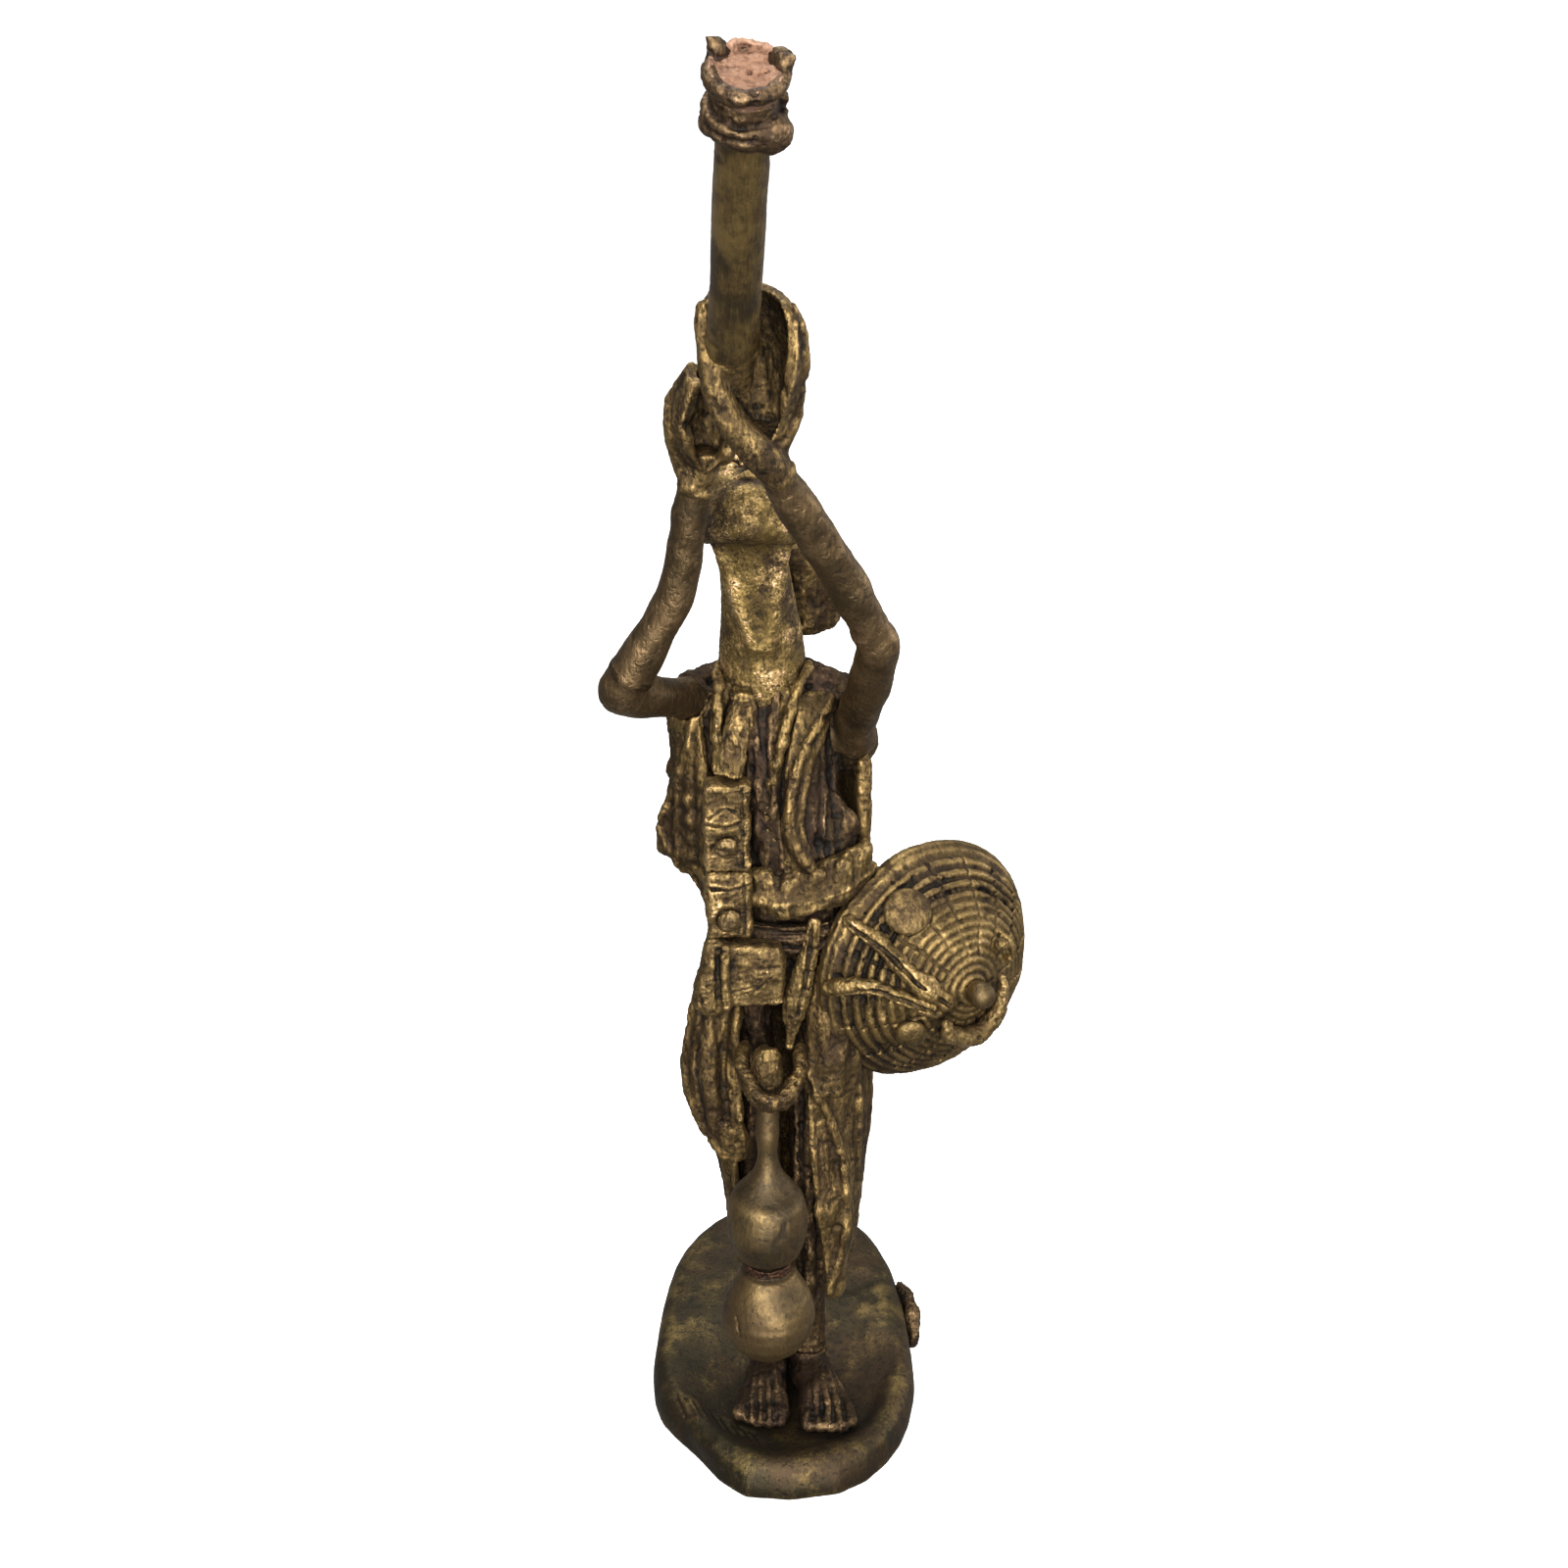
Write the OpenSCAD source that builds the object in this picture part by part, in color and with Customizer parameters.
/* [Base] */
// Width of the base
base_w = 86; // [70:1:110]
// Depth of the base, front to back
base_d = 142; // [120:1:180]
// Height of the base at its front rim
base_front_h = 11; // [8:0.5:16]
// Height of the base at its back
base_back_h = 20; // [14:0.5:30]
// Diameter of the pin under each foot
foot_pin_d = 6; // [4:0.5:8]

/* [Figure] */
// Height of the shoulders above the underside of the base
shoulder_z = 248; // [220:1:280]
// Height of the waist sash
waist_z = 176; // [160:1:190]
// Height of the robe's lower hem
hem_z = 52; // [44:1:80]
// Half width of the body at the chest
chest_half_w = 22; // [18:0.5:27]
// Half width of the robe at the hips
hip_half_w = 25; // [20:0.5:30]
// Wall of the robe
robe_wall = 2.4; // [1.6:0.1:4]
// Diameter of the neck
neck_d = 21; // [16:0.5:24]
// Diameter of the pins that join head, arms and hands
joint_pin_d = 5; // [3:0.5:6]
// Play left round each pin, on the diameter
pin_play = 0.2; // [0.1:0.05:0.5]
// Gap between pieces that lie against each other
lay_gap = 0.2; // [0.1:0.05:0.5]

/* [Horn] */
// Length of the horn's tube from the hand to the collar
horn_len = 66.5; // [40:1:90]
// Diameter of the horn's tube
horn_d = 12.4; // [9:0.2:16]
// Lean of the horn towards the front, from upright
horn_lean = 36; // [20:1:45]
// Diameter of the knotted collar at the horn's top
collar_d = 18; // [14:0.5:24]
// Length of the collar along the horn
collar_len = 11.5; // [6:0.5:14]

/* [Hat] */
// Diameter of the hat at its rim
hat_d = 77; // [50:1:90]
// Height of the hat's cone
hat_h = 25; // [15:0.5:35]
// Wall of the hat
hat_wall = 2.6; // [1.5:0.1:4]
// Turn of the hat towards the figure's left side
hat_turn = 33; // [10:1:60]

/* [Gourd] */
// Diameter of the gourd's lower bulb
gourd_low_d = 29.4; // [22:0.5:36]
// Diameter of the gourd's upper bulb
gourd_up_d = 25; // [18:0.5:30]
// Diameter of the gourd's neck
gourd_neck_d = 7.4; // [5:0.2:10]

/* [Pouches] */
// Width of the two belt pouches
pouch_w = 13.4; // [10:0.2:18]
// Height of the upper pouch
upper_pouch_h = 27; // [18:0.5:34]
// Height of the lower pouch
lower_pouch_h = 21; // [14:0.5:28]
// Depth of the pouches
pouch_depth = 8; // [5:0.5:12]
// Width of the waist bag
bag_w = 20; // [14:0.5:28]
// Height of the waist bag
bag_h = 20; // [14:0.5:28]

/* [Hidden] */

bronze = [0.45, 0.36, 0.18];
dark_bronze = [0.30, 0.24, 0.14];
worn_bronze = [0.62, 0.50, 0.26];
raw_copper = [0.86, 0.58, 0.45];
round_fn = 48;
tiny = 0.01;

// ---- curves and solids that the pieces share ----

function mix(a, b, t) = a + (b - a) * t;
function unit(v) = v / norm(v);

// Smooth curve through points or numbers; t counts points from 0
function curve_at(p, t) =
    let (n = len(p) - 1, i = max(0, min(floor(t), n - 1)), f = t - i,
        a = p[max(i - 1, 0)], b = p[i], c = p[i + 1], d = p[min(i + 2, n)])
    0.5 * (2 * b + (c - a) * f + (2 * a - 5 * b + 4 * c - d) * f * f + (3 * b - a - 3 * c + d) * f * f * f);
function curve(p, steps) = [for (k = [0 : (len(p) - 1) * steps]) curve_at(p, k / steps)];

// Smooth closed curve through points
function loop_at(p, t) =
    let (n = len(p), i = floor(t), f = t - i,
        a = p[(i + n - 1) % n], b = p[i % n], c = p[(i + 1) % n], d = p[(i + 2) % n])
    0.5 * (2 * b + (c - a) * f + (2 * a - 5 * b + 4 * c - d) * f * f + (3 * b - a - 3 * c + d) * f * f * f);
function loop_curve(p, steps) = [for (k = [0 : len(p) * steps - 1]) loop_at(p, k / steps)];

// Solid through equal rings of points, each ring counter-clockwise seen along the stack
module stack(rings) {
    m = len(rings[0]);
    n = len(rings);
    half = m / 2;
    walls = [for (i = [0 : n - 2], k = [0 : m - 1])
        let (a = i * m + k, b = i * m + (k + 1) % m) each [[a, a + m, b + m], [a, b + m, b]]];
    foot = [for (k = [0 : half - 2]) let (a = k, b = k + 1, c = m - 2 - k, d = m - 1 - k)
        each [[a, b, c], [a, c, d]]];
    top = (n - 1) * m;
    lid = [for (f = foot) [f[2] + top, f[1] + top, f[0] + top]];
    polyhedron(points = [for (r = rings) each r], faces = concat(walls, foot, lid), convexity = 8);
}

// Bar of oval section along a path; across is the direction of its wide axis
module swept(path, wide, deep, across = [1, 0, 0], sides = 14, steps = 3, domed = [0, 0]) {
    c = curve(path, steps);
    w = curve(wide, steps);
    d = curve(deep, steps);
    n = len(c);
    function axis_of(i) = unit(c[min(i + 1, n - 1)] - c[max(i - 1, 0)]);
    function ring_at(i, out, share) =
        let (t = axis_of(i), s = unit(across - t * (across * t)), l = cross(t, s), at = c[i] + t * out)
        [for (k = [0 : sides - 1]) at + s * w[i] * share * cos(360 * k / sides)
            + l * d[i] * share * sin(360 * k / sides)];
    dome = [20, 50, 78];
    stack(concat(
        domed[0] ? [for (k = [2 : -1 : 0]) ring_at(0, -d[0] * sin(dome[k]), cos(dome[k]))] : [],
        [for (i = [0 : n - 1]) ring_at(i, 0, 1)],
        domed[1] ? [for (k = [0 : 2]) ring_at(n - 1, d[n - 1] * sin(dome[k]), cos(dome[k]))] : []));
}

// Turns a child's +Z along a direction, at a point
module along(at, dir) {
    translate(at) rotate([0, acos(dir.z / norm(dir)), atan2(dir.y, dir.x)]) children();
}

// Round pin from a point along a direction, sunk into its own piece
module pin(at, dir, d, len, sunk = 2) {
    along(at - unit(dir) * sunk, dir) cylinder(d = d, h = len + sunk, $fn = round_fn);
}

// Bore that takes such a pin
module bore(at, dir, d, len) {
    along(at - unit(dir) * tiny, dir) cylinder(d = d + pin_play, h = len + tiny, $fn = round_fn);
}

// ---- the body, as an oval that changes with height ----

body_z = [hem_z - 8, 62, 94, 120, 150, waist_z, 200, 225, shoulder_z - 6, shoulder_z + 3];
body_x = [2.5, 2.5, 2, -2, -1, 0, -3, -5.5, -6, -6.5];
body_y = [-12, -12, -11, -10, -11, -13, -13, -12, -10, -8];
body_w = [17, 17.5, 20, hip_half_w, hip_half_w - 3, chest_half_w - 3, chest_half_w - 2, chest_half_w,
    chest_half_w + 2, chest_half_w - 8];
body_d = [12, 13, 15, 16, 14.5, 13, 14, 14, 12, 9];

// Place in the height list, found by halving the step of the list it falls in
function body_t(z) =
    let (n = len(body_z) - 1, i = max(0, min(n - 1, len([for (k = [1 : n - 1]) if (body_z[k] <= z) 1]))))
    i + (z - body_z[i]) / (body_z[i + 1] - body_z[i]);
// Point at a height and an angle from the front towards the figure's left, lifted off the body
function body_point(z, angle, lift = 0) =
    let (t = body_t(z))
    [curve_at(body_x, t) + (curve_at(body_w, t) + lift) * sin(angle),
        curve_at(body_y, t) - (curve_at(body_d, t) + lift) * cos(angle), z];

// Cloth over the body: rows are [height, angle from, angle to, lift at from, middle, to], low row first
module drape(rows, wall = robe_wall, cols = 8, steps = 2) {
    r = curve(rows, steps);
    function lift_at(row, u) = mix(u < 0.5 ? row[3] : row[5], row[4], sin(180 * u));
    function edge(row, out, u) = body_point(row[0], mix(row[1], row[2], u), lift_at(row, u) + out);
    stack([for (row = r) concat(
        [for (j = [0 : cols]) edge(row, wall, j / cols)],
        [for (j = [cols : -1 : 0]) edge(row, 0, j / cols)])]);
}

// ---- base ----

foot_pin_len = 7;
right_ankle = [-4.5, -20, 22];
left_ankle = [8, -23, 22];
foot_dir_right = [-0.12, -1, 0];
foot_dir_left = [0.26, -1, 0];
base_seat_z = 9;
ankle_boss_d = foot_pin_d + 5;
ankle_seat_d = ankle_boss_d + 1;

// Plan of the base: one handful of corners, rounded by the curve
base_plan = [[-0.14, -0.5], [0.2, -0.49], [0.38, -0.39], [0.47, -0.26], [0.495, -0.12], [0.49, 0.03],
    [0.46, 0.17], [0.4, 0.32], [0.3, 0.43], [0.12, 0.5], [-0.12, 0.5], [-0.3, 0.43], [-0.42, 0.31],
    [-0.48, 0.17], [-0.5, 0.0], [-0.5, -0.13], [-0.46, -0.25], [-0.32, -0.37]];
// Rings of the base: share of its height, share of its plan
base_levels = [[0, 1], [0.5, 1], [0.8, 0.975], [0.97, 0.91], [1, 0.82], [1, 0.72], [1, 0.6], [1, 0.45],
    [1, 0.28], [1, 0.12]];

function base_top(y) = mix(base_front_h, base_back_h, pow(max(0, min(1, y / base_d + 0.5)), 0.8));
// Flat dish round the feet, 1 where they stand and 0 outside
function dish(x, y) = exp(-pow((x - 3) / 31, 4) - pow((y + 32) / 28, 4));

module base() {
    plan = loop_curve(base_plan, 2);
    color(dark_bronze) difference() {
        stack([for (lv = base_levels) [for (p = plan)
            let (x = p.x * base_w * lv[1], y = p.y * base_d * lv[1] + 4 * (1 - lv[1]))
            [x, y, lv[0] * (lv[0] < 1 ? base_top(y) : mix(base_top(y), base_seat_z, dish(x, y)))]]]);
        for (a = [right_ankle, left_ankle]) {
            bore([a.x, a.y, base_seat_z + tiny], [0, 0, -1], foot_pin_d, foot_pin_len);
            translate([a.x, a.y, base_seat_z]) cylinder(d = ankle_seat_d, h = base_back_h, $fn = round_fn);
        }
    }
}

// Trimmed stub of the casting gate on the left side of the base
module base_lug() {
    function side(t, out, z) =
        let (edge = loop_at(base_plan, t)) [edge.x * base_w + out + lay_gap, edge.y * base_d, z];
    color(dark_bronze) swept([side(5, 1.6, 6), side(5.6, 2.4, 9), side(6.2, 1.7, 8)],
        [1.5, 2.3, 1.4], [3, 4.6, 2.4], domed = [1, 1]);
}

// ---- feet and legs ----

leg_pin_len = 8;
module foot(ankle, dir) {
    d = unit(dir);
    s = [-d.y, d.x, 0];
    toe_r = 2.1;
    sole_z = base_seat_z + toe_r + 3 * lay_gap;
    function out(f, u, z) = [ankle.x, ankle.y, 0] + d * f + s * u + [0, 0, z];
    union() {
        swept([out(-6, 0, sole_z + 1.6), out(0, 0, sole_z + 3.6), out(10, 0, sole_z + 3.4),
            out(21, 0, sole_z + 1)], [4.6, 5.6, 6.2, 7], [3, 5, 4.8, 2.4],
            across = s, sides = 12, domed = [1, 1]);
        for (k = [-2 : 2])
            swept([out(18, k * 2.7, sole_z + 0.7), out(25, k * 3.1, sole_z + 0.6),
                out(29 - abs(k - 1) * 1.1, k * 3.3, sole_z + 0.4)], toe_r * [1, 0.95, 0.8], toe_r * [1, 1, 0.8],
                across = s, sides = 8, steps = 1, domed = [0, 1]);
        translate([ankle.x, ankle.y, base_seat_z + lay_gap])
            cylinder(d = ankle_boss_d, h = ankle.z - base_seat_z - lay_gap, $fn = round_fn);
        pin([ankle.x, ankle.y, base_seat_z + lay_gap], [0, 0, -1], foot_pin_d, foot_pin_len - 1);
        pin(ankle, [0, 0, 1], joint_pin_d, leg_pin_len - 1);
    }
}
module right_foot() { color(bronze) foot(right_ankle, foot_dir_right); }
module left_foot() { color(bronze) foot(left_ankle, foot_dir_left); }

hip_z = 150;
// Gap at a flat seat whose two faces lean a little
seat_gap = lay_gap + 0.2;
ankle_r = 5.4;
knee_r = 6.8;
thigh_r = 7;
module leg(ankle, hip) {
    radii = [ankle_r, ankle_r, ankle_r, knee_r, thigh_r, thigh_r, thigh_r];
    difference() {
        swept([ankle + [0, 0, seat_gap], ankle + [0, 0, 3], ankle + [0, 0, leg_pin_len + 2],
            mix(ankle, hip, 0.45), hip - [0, 0, 16], hip - [0, 0, 3], hip - [0, 0, seat_gap]],
            radii, radii, steps = 2);
        bore(ankle, [0, 0, 1], joint_pin_d, leg_pin_len);
        bore(hip, [0, 0, -1], joint_pin_d, leg_pin_len);
    }
}
right_hip = [-10, -10, hip_z];
left_hip = [8.5, -10, hip_z];
module right_leg() { color(dark_bronze) leg(right_ankle, right_hip); }
module left_leg() { color(dark_bronze) leg(left_ankle, left_hip); }

// ---- torso ----

neck_rise = 2.6;
neck_base = [-6.5, -8, shoulder_z + neck_rise];
neck_dir = unit([0, -3, 14]);
arm_r = 6.3;
right_shoulder = [-27.5, -15, shoulder_z - 5];
left_shoulder = [20, -14, shoulder_z - 17];
right_elbow = [-46, -46, shoulder_z + 7];
left_elbow = [26.5, -43, shoulder_z + 20];
right_arm_dir = unit(right_elbow - right_shoulder);
left_arm_dir = unit(left_elbow - left_shoulder);
boss_d = 12;
boss_len = 12;
arm_room_len = 30;
// Room round an upper arm where it leaves the body
module arm_room(at, dir, back = 0) {
    along(at - dir * back, dir) cylinder(r = arm_r + lay_gap, h = arm_room_len + back, $fn = round_fn);
}
// Room round the boss that the arm sits on, as cloth over the shoulder needs it
module boss_room(at, dir) { arm_room(at, dir, boss_len + 2); }
// Root of the neck, on top of the torso
module neck_root(grow = 0) {
    along(neck_base - neck_dir * (neck_rise + 3), neck_dir)
        cylinder(d = neck_d + 2 * grow, h = neck_rise + 3, $fn = round_fn);
}

torso_sides = 28;
torso_levels = [hip_z, hip_z + 10, waist_z, 190, 205, 220, 232, shoulder_z - 8, shoulder_z - 3, shoulder_z];
module torso_core(grow = 0) {
    stack([for (z = torso_levels) [for (k = [0 : torso_sides - 1])
        body_point(z, 360 * k / torso_sides, grow) + [0, 0, z == shoulder_z ? grow : 0]]]);
}
module torso() {
    color(dark_bronze) difference() {
        union() {
            torso_core();
            neck_root();
            for (s = [[right_shoulder, right_arm_dir], [left_shoulder, left_arm_dir]])
                along(s[0] - s[1] * boss_len, s[1]) cylinder(d = boss_d, h = boss_len, $fn = round_fn);
            for (h = [right_hip, left_hip]) pin(h, [0, 0, -1], joint_pin_d, leg_pin_len - 1);
        }
        arm_room(right_shoulder, right_arm_dir);
        arm_room(left_shoulder, left_arm_dir);
        bore(neck_base, -neck_dir, joint_pin_d, leg_pin_len);
        bore(right_shoulder, -right_arm_dir, joint_pin_d, leg_pin_len);
        bore(left_shoulder, -left_arm_dir, joint_pin_d, leg_pin_len);
    }
}

// ---- robe ----

// Room between the robe and the body where they touch
lay = lay_gap + 0.3;
module robe_skirt() {
    color(bronze) drape([[hem_z, 52, 300, 0.5, 0.8, 0.5], [80, 48, 306, 1, 1, 1], [110, 46, 310, 1, 1.5, 1],
        [140, 44, 312, 1, 1.2, 1], [waist_z - 5, 44, 312, lay, lay, lay]], cols = 18);
}
module robe_right_flap() {
    low = robe_wall + 1.4;
    color(bronze) drape([[96, -52, -30, low, 7, 4], [106, -74, -24, low + 1, 8, 5], [124, -76, -24, low, 7, 5],
        [146, -70, -26, low, 4.5, low], [waist_z - 17, -62, -30, low, low, low]]);
}
module robe_left_flap() {
    low = robe_wall + 1.4;
    color(bronze) drape([[hem_z - 4, 24, 40, 9, 9, 6], [hem_z + 20, 18, 50, 9, 9, 5], [96, 14, 50, 6.5, 6, low],
        [112, 16, 50, low, low + 0.4, low], [132, 20, 50, low, low, low]]);
}
module robe_back() {
    color(bronze) difference() {
        drape([[waist_z + 2, 74, 266, 5, 5, 3], [195, 72, 266, 7, 4, 3], [215, 74, 266, 7, 2.5, 3],
            [235, 84, 266, 5, 1.5, 3], [shoulder_z - 5, 96, 266, 1.2, 1.2, 1.2],
            [shoulder_z, 110, 262, lay, lay, lay]], cols = 16);
        torso_core(lay_gap);
        neck_root(lay_gap);
        boss_room(right_shoulder, right_arm_dir);
        boss_room(left_shoulder, left_arm_dir);
    }
}
module robe_right_front() {
    color(bronze) difference() {
        drape([[waist_z - 2, -64, -36, 4, 4, 2], [187, -80, -38, 6, 4, 2], [199, -88, -40, 14, 5, 2],
            [211, -84, -40, 6, 4, 2], [228, -82, -42, 4, 2.6, 1.5], [shoulder_z - 9, -80, -42, 2, 1.5, 1],
            [shoulder_z - 2, -70, -40, lay, lay, lay]], cols = 10);
        torso_core(lay_gap);
        boss_room(right_shoulder, right_arm_dir);
    }
}
module robe_left_front() {
    color(bronze) difference() {
        drape([[waist_z + 12, 4, 66, 3, 4.5, 7], [197, 6, 50, 2.6, 4.5, 7], [210, 9, 44, 2, 4, 6],
            [224, 13, 54, 1.4, 3.4, 5], [236, 18, 70, 1, 2, 3],
            [shoulder_z - 2, 24, 80, lay, lay, lay]], cols = 10);
        torso_core(lay_gap);
        boss_room(left_shoulder, left_arm_dir);
    }
}
// Thick lower edge of the upper garment, rising towards the figure's left side
module tunic_hem() {
    shares = [for (k = [0 : 6]) k / 6];
    radii = [for (u = shares) 1.85];
    color(worn_bronze)
        swept([for (u = shares) body_point(waist_z + 7 + 10 * u * u, mix(-4, 66, u), mix(7.4, 11.8, u))],
            radii, radii, domed = [1, 1], across = [0, 0, 1]);
}

function lapel_path(side_angles, lift, heights) =
    [for (i = [0 : len(heights) - 1]) body_point(heights[i], side_angles[i], lift)];
module right_lapel() {
    color(worn_bronze) swept(lapel_path([-32, -32, -31, -30], 1.9, [222, 231, 240, shoulder_z]),
        [2, 2, 1.8, 1.5], [1.1, 1.1, 1.1, 1.1], domed = [1, 1]);
}
module left_lapel() {
    color(worn_bronze) swept(lapel_path([0, 5, 11, 20], 2, [204, 222, 237, shoulder_z - 1.5]),
        [2, 2, 1.9, 1.5], [1.2, 1.3, 1.3, 1.2], domed = [1, 1]);
}
// Edge of the shirt round the front of the neck
module neckline_band() {
    band_r = 1.2;
    ring_r = neck_d / 2 + band_r + 0.7;
    angles = [-96 : 32 : 96];
    radii = [for (a = angles) band_r];
    color(worn_bronze) swept([for (a = angles) [neck_base.x + sin(a) * ring_r, neck_base.y - cos(a) * ring_r,
        shoulder_z + lay_gap + band_r + 0.1]], radii, radii, across = [0, 0, 1], domed = [1, 1]);
}
module waist_sash() {
    low = robe_wall + 2 * lay;
    color(dark_bronze) drape([[waist_z - 10, -24, 48, low, low, low],
        [waist_z - 4, -26, 46, low, low + 0.8, low], [waist_z + 1, -26, 48, low, low, low]], wall = 2, cols = 12);
}
module sash_tail() {
    color(worn_bronze) swept([body_point(waist_z + 3, 20, 8), body_point(waist_z - 8, 15, 8.2),
        body_point(waist_z - 20, 10, 8), body_point(waist_z - 29, 7, 7)],
        [2, 3, 3.6, 2.4], [1.4, 1.6, 1.6, 1.4], domed = [1, 1]);
}

// ---- head ----

// The head is thrown back: its long axis runs from the chin in front to the crown behind
head_c = neck_base + [-3.2, -8, 50.5];
head_axis = [[0, -18, 2], [0, -13, 0], [0, -4, -1], [0, 6, -1], [0, 13, -3], [0, 17, -5]];
head_half_w = [7.5, 10.8, 12.8, 13.2, 11.5, 7.5];
head_half_d = [6.5, 10, 12.8, 13.2, 11, 7];
// The skull, or room for it when it is grown
module skull(grow = 0) {
    swept([for (p = head_axis) head_c + p], [for (w = head_half_w) w + grow], [for (d = head_half_d) d + grow],
        sides = 20, domed = [1, 1]);
}
// The neck, or room for it when it is grown
module neck(grow = 0) {
    r = neck_d / 2 + grow;
    swept([neck_base + neck_dir * lay_gap, neck_base + neck_dir * 3, neck_base + neck_dir * 14,
        neck_base + [-0.7, -6, 27], neck_base + [-1.4, -9, 39]],
        [r, r, r - 0.2, r + 0.8, r + 1], [r, r, r - 0.5, r + 0.5, r + 1], sides = 20);
}
module ears(grow = 0) {
    for (s = [-1, 1]) swept([head_c + [s * 12.4, -1, -7], head_c + [s * 13.2, 0, -3], head_c + [s * 12.6, 0, 2]],
        [1.2 + grow, 1.6 + grow, 1.2 + grow], [2.2 + grow, 3 + grow, 2.2 + grow], sides = 10, domed = [1, 1]);
}
module head() {
    color(worn_bronze) union() {
        neck();
        skull();
        swept([head_c + [0, -4, 10], head_c + [0, -7, 13.5], head_c + [0, -4, 15]],
            [2.6, 2.4, 1.4], [2.6, 2.4, 1.4], sides = 10, domed = [0, 1]);
        ears();
        pin(neck_base, -neck_dir, joint_pin_d, leg_pin_len - 1);
    }
}
// Close cap over the back of the skull, open underneath at the nape
module cap() {
    color(bronze) difference() {
        cup([head_c + [0, 4, -1], head_c + [0, 9, -2], head_c + [0, 14, -3.8], head_c + [0, 17.5, -5.5]],
            [16.4, 15.8, 13.4, 10.2], [70, 60, 50, 40], 2, turn = 180);
        skull(lay_gap);
        neck(lay_gap);
        ears(lay_gap);
    }
}
// Loose end of the cap, hanging behind the neck towards the figure's left
module cap_tail() {
    color(bronze) difference() {
        swept([head_c + [4, 13, -15], head_c + [10, 18, -22], head_c + [16, 21, -31], head_c + [18, 20, -40]],
            [6, 10, 12, 8.5], [4, 5.6, 6.4, 4.6], domed = [1, 1]);
        cap();
        skull(lay_gap);
        neck(lay_gap);
    }
}

// ---- arms ----

right_wrist = [-23, -59, shoulder_z + 68];
left_wrist = [-3, -75, shoulder_z + 78];
right_mid = [-29.5, -53, shoulder_z + 37];
left_mid = [12, -60, shoulder_z + 50];
elbow_len = 8;
wrist_r = 4.6;
right_fore_dir = unit(right_mid - right_elbow);
left_fore_dir = unit(left_mid - left_elbow);
right_cut = right_elbow + right_fore_dir * elbow_len;
left_cut = left_elbow + left_fore_dir * elbow_len;
right_hand_dir = unit(right_wrist - right_mid);
left_hand_dir = unit(left_wrist - left_mid);

// Radius of the arm at the cut above the elbow, as a share of its radius at the shoulder
elbow_share = 0.92;
// Upper arm with the bent elbow, up to the cut above it
module upper_arm(shoulder, elbow, cut, dir) {
    radii = arm_r * [1, 0.97, 0.97, 1, 0.95, elbow_share];
    difference() {
        union() {
            swept([shoulder, shoulder + dir * 6, mix(shoulder, elbow, 0.82), mix(elbow, cut, 0.25),
                cut - unit(cut - elbow) * 3, cut], radii, radii);
            pin(shoulder, -dir, joint_pin_d, leg_pin_len - 1);
        }
        bore(cut, elbow - cut, joint_pin_d, leg_pin_len);
    }
}
// Forearm from the cut above the elbow to the wrist, with a pin at each end
module forearm(cut, mid, wrist, dir, hand_dir) {
    radii = [arm_r * elbow_share, arm_r * elbow_share, arm_r * 0.85, wrist_r, wrist_r];
    union() {
        swept([cut + dir * lay_gap, cut + dir * 4, mid, wrist - hand_dir * 8, wrist], radii, radii);
        pin(cut, -dir, joint_pin_d, leg_pin_len - 1);
        pin(wrist, hand_dir, joint_pin_d, leg_pin_len - 1);
    }
}
module right_upper_arm() {
    color(bronze) upper_arm(right_shoulder, right_elbow, right_cut, right_arm_dir);
}
module left_upper_arm() {
    color(bronze) upper_arm(left_shoulder, left_elbow, left_cut, left_arm_dir);
}
module right_forearm() {
    color(bronze) forearm(right_cut, right_mid, right_wrist, right_fore_dir, right_hand_dir);
}
module left_forearm() {
    color(bronze) forearm(left_cut, left_mid, left_wrist, left_fore_dir, left_hand_dir);
}

// A cupped hand: a trough along a path that opens towards the front, closed at the wrist
module cup(path, radii, open_angles, wall, turn = 0, across = [1, 0, 0], steps = 2, cols = 9) {
    c = curve(path, steps);
    r = curve(radii, steps);
    g = curve(open_angles, steps);
    n = len(c);
    function ring_at(i) =
        let (t = unit(c[min(i + 1, n - 1)] - c[max(i - 1, 0)]), s = unit(across - t * (across * t)),
            l = cross(t, s), a0 = -90 + turn + g[i] / 2, a1 = 270 + turn - g[i] / 2, ri = max(0.6, r[i] - wall))
        concat([for (j = [0 : cols]) let (a = mix(a0, a1, j / cols)) c[i] + r[i] * (s * cos(a) + l * sin(a))],
            [for (j = [cols : -1 : 0]) let (a = mix(a0, a1, j / cols)) c[i] + ri * (s * cos(a) + l * sin(a))]);
    stack([for (i = [0 : n - 1]) ring_at(i)]);
}

hand_wall = 2.4;
horn_foot = left_wrist + [-9.5, -12, 31];
horn_side = 5.5;
horn_dir = unit([sin(horn_lean) * sin(horn_side), -sin(horn_lean) * cos(horn_side), cos(horn_lean)]);
horn_pin_len = 7;
horn_boss_len = 10;

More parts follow.
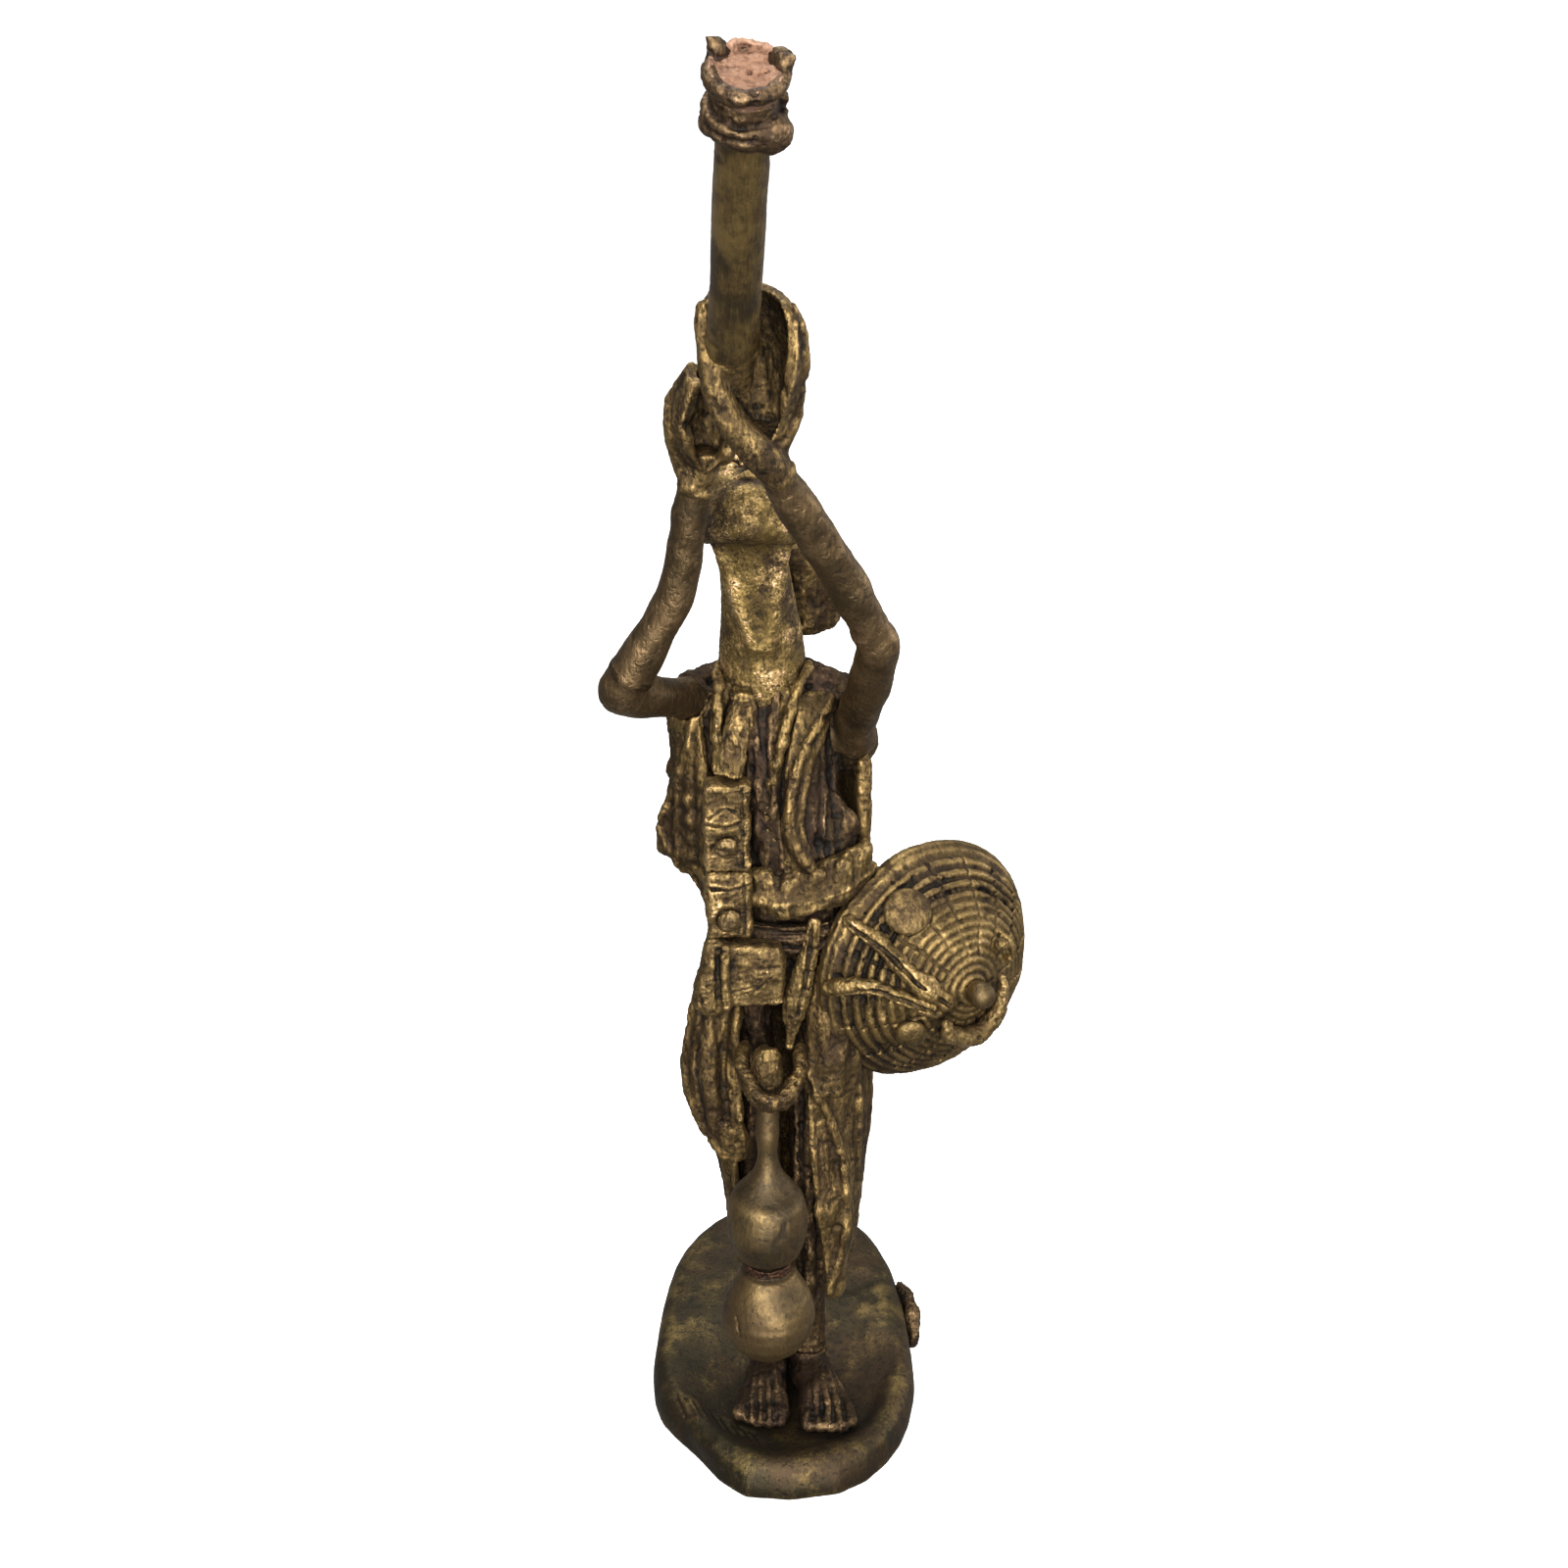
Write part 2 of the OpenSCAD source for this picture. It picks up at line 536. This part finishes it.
module right_hand() {
    color(bronze) difference() {
        union() {
            swept([right_wrist + right_hand_dir * seat_gap, right_wrist + right_hand_dir * 4,
                right_wrist + [1.6, -2, 11]], [wrist_r, 5, 6], [wrist_r, 4.8, 5]);
            cup([right_wrist + [1.2, -1.6, 8], right_wrist + [2.2, -3.5, 13], right_wrist + [3.5, -7, 21],
                right_wrist + [6, -11, 31]], [5.6, 7.6, 9.8, 7.8], [10, 70, 120, 130], hand_wall, turn = 20);
        }
        bore(right_wrist, right_hand_dir, joint_pin_d, leg_pin_len);
    }
}
module left_hand() {
    color(bronze) difference() {
        union() {
            swept([left_wrist + left_hand_dir * seat_gap, left_wrist + left_hand_dir * 4,
                left_wrist + [-2, -3.4, 10]], [wrist_r, 5.4, 7], [wrist_r, 5, 5.4]);
            cup([left_wrist + [-1.6, -2.4, 8], left_wrist + [-2.6, -4.6, 14], left_wrist + [-4.8, -8.4, 26],
                left_wrist + [-5.8, -11.5, 38], left_wrist + [-5.4, -13, 43]],
                [6, 9, 12.8, 12.4, 10], [10, 60, 110, 150, 170], hand_wall);
            along(horn_foot - horn_dir * horn_boss_len, horn_dir)
                cylinder(d = horn_d - 1, h = horn_boss_len, $fn = round_fn);
        }
        bore(horn_foot, -horn_dir, joint_pin_d, horn_pin_len);
        along(horn_foot, horn_dir) cylinder(d = horn_d + 2 * lay_gap, h = horn_len, $fn = round_fn);
        bore(left_wrist, left_hand_dir, joint_pin_d, leg_pin_len);
    }
}

// ---- horn, built upright and then leant ----

module on_horn(height) { along(horn_foot, horn_dir) translate([0, 0, height]) children(); }

module horn_tube() {
    color(bronze) on_horn(0) union() {
        difference() {
            cylinder(d = horn_d, h = horn_len + collar_len, $fn = round_fn);
            translate([0, 0, horn_len + collar_len - horn_pin_len])
                cylinder(d = joint_pin_d + pin_play, h = horn_pin_len + 1, $fn = round_fn);
        }
        translate([0, 0, 1 - horn_pin_len]) cylinder(d = joint_pin_d, h = horn_pin_len, $fn = round_fn);
    }
}
// Knotted binding: a ring with lumps and a lower fold
module horn_collar() {
    color(bronze) on_horn(horn_len) difference() {
        union() {
            rotate_extrude($fn = round_fn) polygon([[horn_d / 2 - 1, 0], [collar_d / 2 - 2.2, 0],
                [collar_d / 2 - 0.9, 2], [collar_d / 2 - 0.4, 4.5], [collar_d / 2 - 1.4, 6.5],
                [collar_d / 2 - 1.8, collar_len], [horn_d / 2 - 1, collar_len]]);
            for (a = [20, 110, 215, 300])
                rotate([0, 0, a]) translate([collar_d / 2 - 1.8, 0, 4.2]) sphere(d = 4.6, $fn = 16);
        }
        translate([0, 0, -1]) cylinder(d = horn_d + pin_play, h = collar_len + 2, $fn = round_fn);
    }
}
// Broken end: a flared stump with a ragged rim round the bare break
function ragged(a) =
    1.1 * sin(3 * a + 40) + 0.9 * sin(5 * a)
    + 2.6 * exp(-pow((a - 200) / 24, 2)) + 2.2 * exp(-pow((a - 70) / 22, 2));
stub_len = 5.5;
module horn_stub() {
    angles = [for (k = [0 : 19]) 18 * k];
    function ring_at(r, z, rag) = [for (a = angles) [r * cos(a), r * sin(a), z + rag * ragged(a)]];
    color(raw_copper) on_horn(horn_len + collar_len) union() {
        stack([ring_at(7.2, 0, 0), ring_at(8, 1.5, 0), ring_at(8.6, 2.8, 0.1), ring_at(9, stub_len - 1.5, 0.7),
            ring_at(8.2, stub_len + 0.4, 1), ring_at(7, stub_len - 0.6, 0.3), ring_at(3, stub_len - 1, 0)]);
        translate([0, 0, 1 - horn_pin_len]) cylinder(d = joint_pin_d, h = horn_pin_len, $fn = round_fn);
    }
}

// ---- hat, built flat with its crown up, then hung on the left hip ----

hat_at = [43.3, -13.8, 157.5];
hat_dir = [sin(hat_turn), -cos(hat_turn), 0];
hat_r = hat_d / 2;
// Height of the hat's outer face at a distance from its axis
function hat_z(r) = hat_h * (1 - pow(r / hat_r, 1.15)) + 3.4 * sin(180 * pow(r / hat_r, 1.4));
function on_hat_face(x, y, lift = 0) = [x, y, hat_z(norm([x, y])) + lift];
module on_hat() { along(hat_at, hat_dir) children(); }
knob_pin_d = 3;
knob_foot_d = 7;
knob_sink = 0.6;

module hat_shell() {
    rs = [for (k = [0 : 12]) hat_r * k / 12];
    color(worn_bronze) on_hat() difference() {
        rotate_extrude($fn = 64) polygon(concat([for (r = rs) [r, hat_z(r)]],
            [[hat_r, -hat_wall], [hat_r - hat_wall, -hat_wall]],
            [for (k = [11 : -1 : 0]) [rs[k] * (1 - hat_wall / hat_r), hat_z(rs[k]) - hat_wall]]));
        translate([0, 0, hat_z(0) - 10]) cylinder(d = knob_pin_d + pin_play, h = 20, $fn = round_fn);
        translate([0, 0, hat_z(0) - knob_sink]) cylinder(d = knob_foot_d + 1, h = 20, $fn = round_fn);
    }
}
module hat_knob() {
    color(worn_bronze) on_hat() union() {
        translate([0, 0, hat_z(0) - knob_sink + lay_gap]) cylinder(d = knob_foot_d, h = 1.6, $fn = round_fn);
        translate([0, 0, hat_z(0) + 3.4]) sphere(d = 8.4, $fn = round_fn);
        translate([0, 0, hat_z(0) - 3]) cylinder(d = knob_pin_d, h = 4, $fn = round_fn);
    }
}
function on_face(points, lift) = [for (p = points) on_hat_face(p.x, p.y, lift)];
module hat_crest() {
    color(worn_bronze) on_hat()
        swept(on_face([[21, 0], [25, 7], [24, 14], [18, 20], [10, 21]], 2.8 + lay_gap),
        [1.4, 2.6, 2.8, 2.2, 1.2], [1.2, 2, 2, 2, 1.2], across = [1, 0, 0], domed = [1, 1]);
}
module hat_loop() {
    radii = [1.1, 1.3, 1.3, 1.1];
    color(worn_bronze) on_hat() swept([on_hat_face(-14, 13, 1.6), on_hat_face(-11, 15, 4.4),
        on_hat_face(-7, 16, 4.6), on_hat_face(-4, 16, 1.6)], radii, radii, across = [0, 1, 0], domed = [1, 1]);
}
module hat_upper_strap() {
    color(worn_bronze) on_hat()
        swept(on_face([[-11, -34], [-4, -25], [4, -16], [11, -7], [17, 2]], 2.3 + lay_gap),
        [2.6, 3, 3.4, 3.4, 2.8], [1.4, 1.5, 1.6, 1.6, 1.4], across = [1, -1, 0], domed = [1, 1]);
}
module hat_lower_strap() {
    color(worn_bronze) on_hat()
        swept(on_face([[13, -35], [9, -30], [11, -21], [14, -13]], 2.2 + lay_gap),
        [2.4, 2.6, 2.6, 2.2], [1.4, 1.5, 1.5, 1.3], across = [1, 0, 0], domed = [1, 1]);
}
// Round leather patch, flat on the cone
module roundel(x, y, d) {
    r = norm([x, y]);
    slope = atan2(hat_z(r - 1) - hat_z(r + 1), 2);
    translate(on_hat_face(x, y, 0.9)) rotate([0, 0, atan2(y, x)]) rotate([0, slope, 0])
        cylinder(d = d, h = 1.6, $fn = round_fn);
}
module hat_upper_roundel() { color(worn_bronze) on_hat() roundel(-15.5, -14.5, 15); }
module hat_lower_roundel() { color(worn_bronze) on_hat() roundel(24.5, -10, 9.4); }

// ---- gourd flask ----

gourd_at = [-5, -46, 51];
gourd_dir = unit([0, 0.1, 1]);
low_r = gourd_low_d / 2;
up_r = gourd_up_d / 2;
neck_r = gourd_neck_d / 2;
crease_r = 8.4;
crease_h = low_r + 3.2;
up_h = crease_h + up_r + 0.5;
neck_h = up_h + 44;
module on_gourd() { along(gourd_at, gourd_dir) children(); }

module gourd() {
    side = curve([[low_r * 0.03, -low_r], [low_r * 0.5, -low_r * 0.87], [low_r * 0.87, -low_r * 0.5],
        [low_r, 0], [low_r * 0.87, low_r * 0.5], [crease_r + 0.8, crease_h - 4], [crease_r, crease_h],
        [crease_r + 1.8, crease_h + 4], [up_r * 0.96, up_h - 4], [up_r, up_h + 1], [up_r * 0.93, up_h + 7],
        [up_r * 0.72, up_h + 15],
        [up_r * 0.45, up_h + 23], [neck_r, up_h + 31], [neck_r - 0.4, neck_h]], 2);
    color(bronze) on_gourd() difference() {
        rotate_extrude($fn = 64) polygon(concat([[0, -low_r]], side, [[0, neck_h]]));
        translate([0, 0, neck_h - 5]) cylinder(d = knob_pin_d + pin_play, h = 6, $fn = round_fn);
    }
}
module gourd_waist_cord() {
    color(dark_bronze) on_gourd() translate([0, 0, crease_h]) difference() {
        rotate_extrude($fn = 48) translate([crease_r + 1.5, 0]) circle(d = 2.4, $fn = 16);
        translate([0, 0, -3]) cylinder(r = crease_r + 0.75, h = 6, $fn = round_fn);
    }
}
module gourd_stopper() {
    color(worn_bronze) on_gourd() union() {
        rotate_extrude($fn = 32) polygon([[0, neck_h + lay_gap], [neck_r, neck_h + lay_gap],
            [4.6, neck_h + 3], [4.8, neck_h + 8], [4.2, neck_h + 12], [2.6, neck_h + 14], [0, neck_h + 14.4]]);
        translate([0, 0, neck_h - 4]) cylinder(d = knob_pin_d, h = 6, $fn = round_fn);
    }
}
// Leather sling that carries the gourd's neck in front of the robe
module gourd_thong() {
    color(worn_bronze) swept([[-12, -30, 136], [-12.5, -38, 133], [-7.5, -45.4, 127], [-0.5, -45.6, 126],
        [4.6, -39, 132], [5, -31, 136]], [1.8, 2.2, 2.6, 2.6, 2.2, 1.8], [1.6, 1.8, 1.8, 1.8, 1.8, 1.6],
        across = [0, 0, 1], domed = [1, 1]);
}

// ---- pouches on the chest ----

pouch_back_y = -30.5;
upper_pouch_at = [-16.5, pouch_back_y, 211];
lower_pouch_at = [-16, pouch_back_y, upper_pouch_at.z - upper_pouch_h / 2 - lay_gap - lower_pouch_h / 2];
stud_pin_d = 3;
// Place of a stud below the middle of its pouch, as a share of the pouch's height
stud_drop = 0.2;
// Box with round edges all round its front; its back lies in the plane y = 0
module soft_box(w, h, d) {
    r = 2;
    function outline(cut) = [for (q = [0 : 3], a = [0 : 30 : 90])
        let (x = q == 0 || q == 3 ? 1 : -1, z = q < 2 ? 1 : -1)
        [x * (w / 2 - r) + (r - cut) * cos(a + 90 * q), z * (h / 2 - r) + (r - cut) * sin(a + 90 * q)]];
    stack([for (lv = [[0, 0.4], [1, 0], [d - 1.6, 0], [d - 0.5, 0.5], [d, 1.6]])
        [for (p = outline(lv[1])) [p.x, -lv[0], p.y]]]);
}
module pouch(at, h) {
    translate(at) difference() {
        soft_box(pouch_w, h, pouch_depth);
        translate([0, -pouch_depth - 1, -h * stud_drop]) rotate([-90, 0, 0])
            cylinder(d = stud_pin_d + pin_play, h = 6, $fn = round_fn);
    }
}
module stud(at, h, d) {
    translate(at + [0, -pouch_depth - lay_gap, -h * stud_drop]) rotate([90, 0, 0]) union() {
        rotate_extrude($fn = 32)
            polygon([[0, 0], [d / 2, 0], [d / 2, 0.6], [d / 2 - 0.8, 1.4], [d / 4, 1.8], [0, 1.9]]);
        translate([0, 0, -4]) cylinder(d = stud_pin_d, h = 5, $fn = round_fn);
    }
}
module upper_pouch() { color(worn_bronze) pouch(upper_pouch_at, upper_pouch_h); }
module lower_pouch() { color(worn_bronze) pouch(lower_pouch_at, lower_pouch_h); }
module upper_pouch_stud() { color(bronze) stud(upper_pouch_at, upper_pouch_h, 6.4); }
module lower_pouch_stud() { color(bronze) stud(lower_pouch_at, lower_pouch_h, 6.8); }
// The bag hangs in front of the sash
bag_back_y = body_y[5] - body_d[5] - robe_wall - 2 * lay - 3;
module waist_bag() { color(worn_bronze) translate([-10, bag_back_y, waist_z - 12]) soft_box(bag_w, bag_h, 7); }
module pouch_strap() {
    color(worn_bronze) swept([[-11.5, -24.4, shoulder_z - 1], [-12.5, -27, shoulder_z - 8], [-14, -29.5, 236],
        [-16, -32.5, 225.3]], [3, 3.8, 4, 4.2], [1.4, 1.8, 1.8, 1.6], domed = [1, 0]);
}

base();
base_lug();
right_foot();
left_foot();
right_leg();
left_leg();
torso();
robe_skirt();
robe_right_flap();
robe_left_flap();
robe_back();
robe_right_front();
robe_left_front();
tunic_hem();
right_lapel();
left_lapel();
neckline_band();
waist_sash();
sash_tail();
head();
cap();
cap_tail();
right_upper_arm();
right_forearm();
right_hand();
left_upper_arm();
left_forearm();
left_hand();
horn_tube();
horn_collar();
horn_stub();
hat_shell();
hat_knob();
hat_crest();
hat_loop();
hat_upper_strap();
hat_lower_strap();
hat_upper_roundel();
hat_lower_roundel();
gourd();
gourd_waist_cord();
gourd_thong();
gourd_stopper();
pouch_strap();
upper_pouch();
upper_pouch_stud();
lower_pouch();
lower_pouch_stud();
waist_bag();
